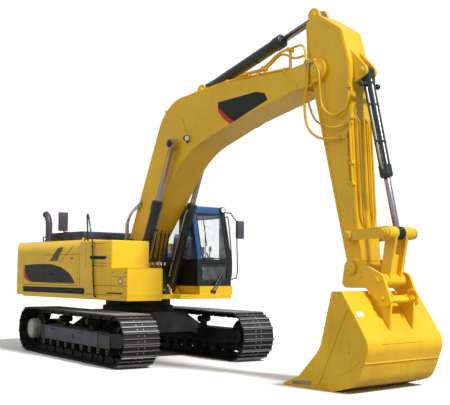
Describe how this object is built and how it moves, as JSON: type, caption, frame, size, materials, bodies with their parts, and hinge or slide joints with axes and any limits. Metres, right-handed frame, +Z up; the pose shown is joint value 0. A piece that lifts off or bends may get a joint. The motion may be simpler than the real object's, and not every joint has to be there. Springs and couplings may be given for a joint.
{
  "type": "crawler excavator",
  "caption": "Tracked excavator with a slewing upper structure, a bent one-piece boom, a stick and a wide flat-lipped bucket on a quick coupler, all hinged and linked by hydraulic cylinders.",
  "frame": {"origin": "on the ground at the middle of the whole machine's length and width", "axes": "+X forward along the boom, +Y to the operator's left, +Z up"},
  "size_m": [10.3765, 3.8286, 6.1416],
  "materials": {
    "yellow_paint": "satin, worn, some dirt",
    "black_paint": "satin black",
    "track_steel": "dark steel with bright worn edges",
    "undercarriage_paint": "dusty dark grey",
    "chromed_rod": "polished",
    "cab_paint": "dark blue satin",
    "hood_paint": "blue-black satin",
    "glass": "clear tinted",
    "seat_cloth": "woven",
    "cab_trim": "moulded, matt",
    "engine_iron": "painted casting"
  },
  "bodies": {
    "undercarriage": {"carbody": "undercarriage_paint", "slew_ring": "black_paint", "track_left": "track_steel", "track_right": "track_steel", "track_frame_left": "undercarriage_paint", "track_frame_right": "undercarriage_paint", "sprocket_left": "track_steel", "sprocket_right": "track_steel", "idler_left": "track_steel", "idler_right": "track_steel"},
    "upper_structure": {"revolving_frame": "yellow_paint", "counterweight": "yellow_paint", "engine_housing": "yellow_paint", "engine": "engine_iron", "tank": "yellow_paint", "step_box": "yellow_paint", "exhaust": "black_paint", "handrail_right": "black_paint", "mirror_right": "cab_trim", "mirror_left": "cab_trim", "cab_shell": "cab_paint", "windscreen": "glass", "lower_screen": "glass", "side_window": "glass", "rear_window": "glass", "consoles": "cab_trim", "seat": "seat_cloth"},
    "hood": {"engine_hood": "hood_paint"},
    "right_door": {"right_access_door": "yellow_paint"},
    "left_door": {"left_access_door": "yellow_paint"},
    "tool_box_lid": {"tool_lid": "yellow_paint"},
    "operator_door": {"cab_door": "cab_paint", "door_window": "glass"},
    "boom_body": {"boom": "yellow_paint"},
    "boom_cylinder_barrels": {"boom_barrel_left": "black_paint", "boom_barrel_right": "black_paint"},
    "boom_cylinder_rods": {"boom_rod_left": "chromed_rod", "boom_rod_right": "chromed_rod"},
    "stick_body": {"stick": "yellow_paint"},
    "stick_cylinder_barrel": {"stick_barrel": "black_paint"},
    "stick_cylinder_rod": {"stick_rod": "chromed_rod"},
    "bucket_body": {"bucket": "yellow_paint", "quick_coupler": "yellow_paint"},
    "idler_link_pair": {"idler_links": "yellow_paint"},
    "power_link_body": {"power_link": "yellow_paint"},
    "bucket_cylinder_barrel": {"bucket_barrel": "black_paint"},
    "bucket_cylinder_rod": {"bucket_rod": "chromed_rod"}
  },
  "joints": [
    {"name": "swing", "type": "hinge", "parent": "undercarriage", "child": "upper_structure", "pos_m": [-1.69, 0, 1.11], "axis": [0, 0, 1], "continuous": true},
    {"name": "hood_lift", "type": "hinge", "parent": "upper_structure", "child": "hood", "pos_m": [-2.29, 0, 2.41], "axis": [0, 1, 0], "range_deg": [0, 60]},
    {"name": "right_door_swing", "type": "hinge", "parent": "upper_structure", "child": "right_door", "pos_m": [-3.052, -1.478, 1.78], "axis": [0, 0, -1], "range_deg": [0, 110]},
    {"name": "left_door_swing", "type": "hinge", "parent": "upper_structure", "child": "left_door", "pos_m": [-3.722, 1.478, 1.78], "axis": [0, 0, 1], "range_deg": [0, 110]},
    {"name": "tool_lid_lift", "type": "hinge", "parent": "upper_structure", "child": "tool_box_lid", "pos_m": [-0.418, -1.09, 1.793], "axis": [0, -1, 0], "range_deg": [0, 80]},
    {"name": "operator_door_swing", "type": "hinge", "parent": "upper_structure", "child": "operator_door", "pos_m": [-1.652, 1.496, 2.255], "axis": [0, 0, 1], "range_deg": [0, 150]},
    {"name": "boom_lift", "type": "hinge", "parent": "upper_structure", "child": "boom_body", "pos_m": [-1.64, 0, 1.9], "axis": [0, -1, 0], "range_deg": [-54, 26]},
    {"name": "boom_cylinder_tilt", "type": "hinge", "parent": "upper_structure", "child": "boom_cylinder_barrels", "pos_m": [-1.17, 0, 1.39], "axis": [0, -1, 0], "range_deg": [-52.18, 25.15]},
    {"name": "boom_rod_stroke", "type": "slide", "parent": "boom_cylinder_barrels", "child": "boom_cylinder_rods", "axis": [0.3902, 0, 0.9207], "range_m": [-0.6261, 0.302]},
    {"name": "stick_curl", "type": "hinge", "parent": "boom_body", "child": "stick_body", "pos_m": [3.69578, 0, 5.01798], "axis": [0, 1, 0], "range_deg": [-45, 42]},
    {"name": "stick_cylinder_tilt", "type": "hinge", "parent": "boom_body", "child": "stick_cylinder_barrel", "pos_m": [0.50827, 0, 5.24014], "axis": [0, 1, 0], "range_deg": [-0.77, 0.72]},
    {"name": "stick_rod_stroke", "type": "slide", "parent": "stick_cylinder_barrel", "child": "stick_cylinder_rod", "axis": [0.9668, 0, 0.2556], "range_m": [-0.7652, 0.7143]},
    {"name": "bucket_curl", "type": "hinge", "parent": "stick_body", "child": "bucket_body", "pos_m": [4.43812, 0, 1.80256], "axis": [0, 1, 0], "range_deg": [-75, 75]},
    {"name": "idler_link_tilt", "type": "hinge", "parent": "stick_body", "child": "idler_link_pair", "pos_m": [4.36949, 0, 2.29987], "axis": [0, 1, 0], "range_deg": [-48.39, 48.39]},
    {"name": "power_link_tilt", "type": "hinge", "parent": "idler_link_pair", "child": "power_link_body", "pos_m": [5.04012, 0, 2.32956], "axis": [0, 1, 0], "range_deg": [-29.4, 29.4]},
    {"name": "bucket_cylinder_tilt", "type": "hinge", "parent": "stick_body", "child": "bucket_cylinder_barrel", "pos_m": [4.4843, 0, 4.89213], "axis": [0, 1, 0], "range_deg": [-2.56, 2.56]},
    {"name": "bucket_rod_stroke", "type": "slide", "parent": "bucket_cylinder_barrel", "child": "bucket_cylinder_rod", "axis": [0.212, 0, -0.9773], "range_m": [-0.5251, 0.5251]}
  ],
  "couplings": [
    {"joint": "boom_cylinder_tilt", "follows": "boom_lift", "ratio": 0.96542},
    {"joint": "boom_rod_stroke", "follows": "boom_lift", "m_per_rad": 0.66329},
    {"joint": "stick_cylinder_tilt", "follows": "stick_curl", "ratio": 0.01607},
    {"joint": "stick_rod_stroke", "follows": "stick_curl", "m_per_rad": 0.97305},
    {"joint": "idler_link_tilt", "follows": "bucket_curl", "ratio": 0.64453},
    {"joint": "power_link_tilt", "follows": "bucket_curl", "ratio": -0.39128},
    {"joint": "bucket_cylinder_tilt", "follows": "bucket_curl", "ratio": 0.033435},
    {"joint": "bucket_rod_stroke", "follows": "bucket_curl", "m_per_rad": 0.40037}
  ]
}
